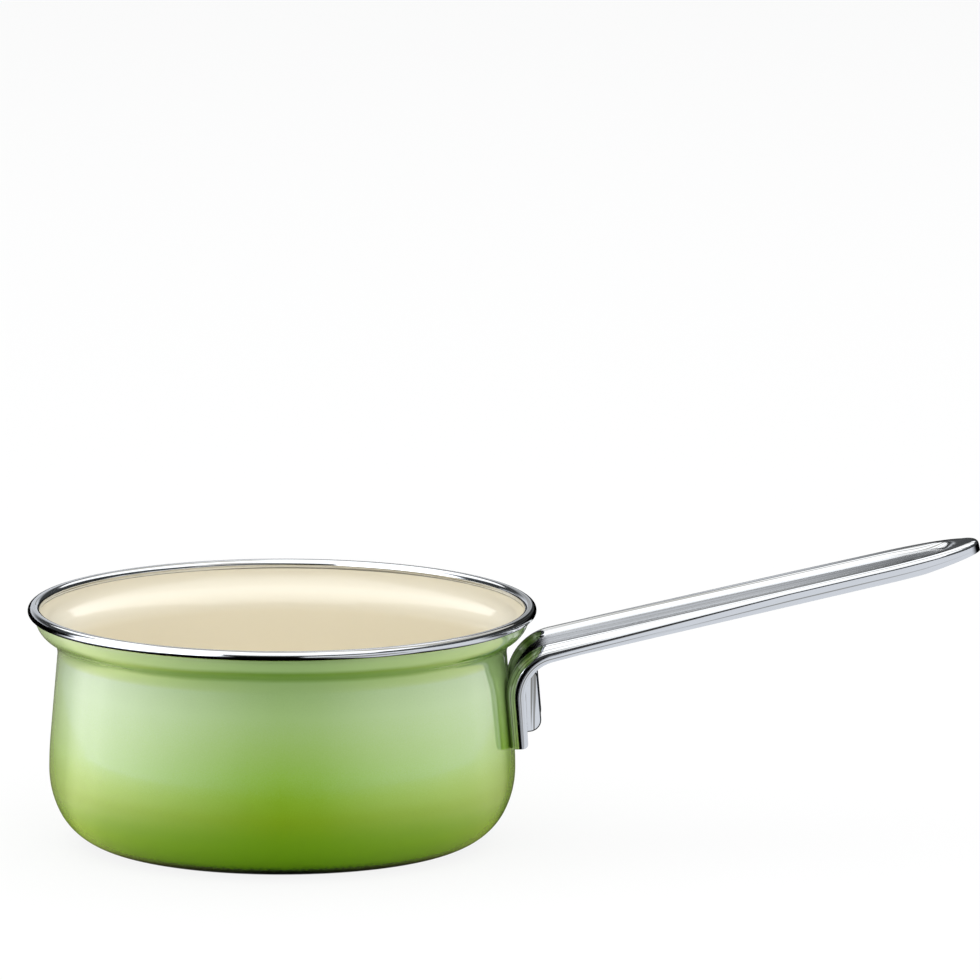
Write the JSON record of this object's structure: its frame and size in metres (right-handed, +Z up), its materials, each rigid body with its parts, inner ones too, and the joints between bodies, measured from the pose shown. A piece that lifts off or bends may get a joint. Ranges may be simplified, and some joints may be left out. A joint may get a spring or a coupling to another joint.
{
  "type": "saucepan",
  "caption": "Enamelled steel saucepan with a rounded belly, flared lip, steel rim band and a rising grooved channel handle.",
  "frame": {"origin": "centre of the flat base, on the surface that the pan stands on", "axes": "+Z up along the pan's axis, +X from the pan's axis towards the handle, +Y to the left of the handle"},
  "size_m": [0.3124, 0.167, 0.1009],
  "materials": {
    "pressed_steel": "pressed sheet, fully coated",
    "green_enamel": "gloss enamel, shaded from pale green at the top to deep green at the base",
    "cream_enamel": "gloss enamel",
    "dark_enamel": "gloss enamel",
    "polished_steel": "polished to a mirror",
    "stud_steel": "bright"
  },
  "bodies": {
    "root": {"steel_body": "pressed_steel", "outer_enamel": "green_enamel", "inner_enamel": "cream_enamel", "base_enamel": "dark_enamel", "rim_band": "polished_steel", "handle": "polished_steel", "handle_bracket": "polished_steel", "mounting_studs": "stud_steel"}
  },
  "joints": []
}
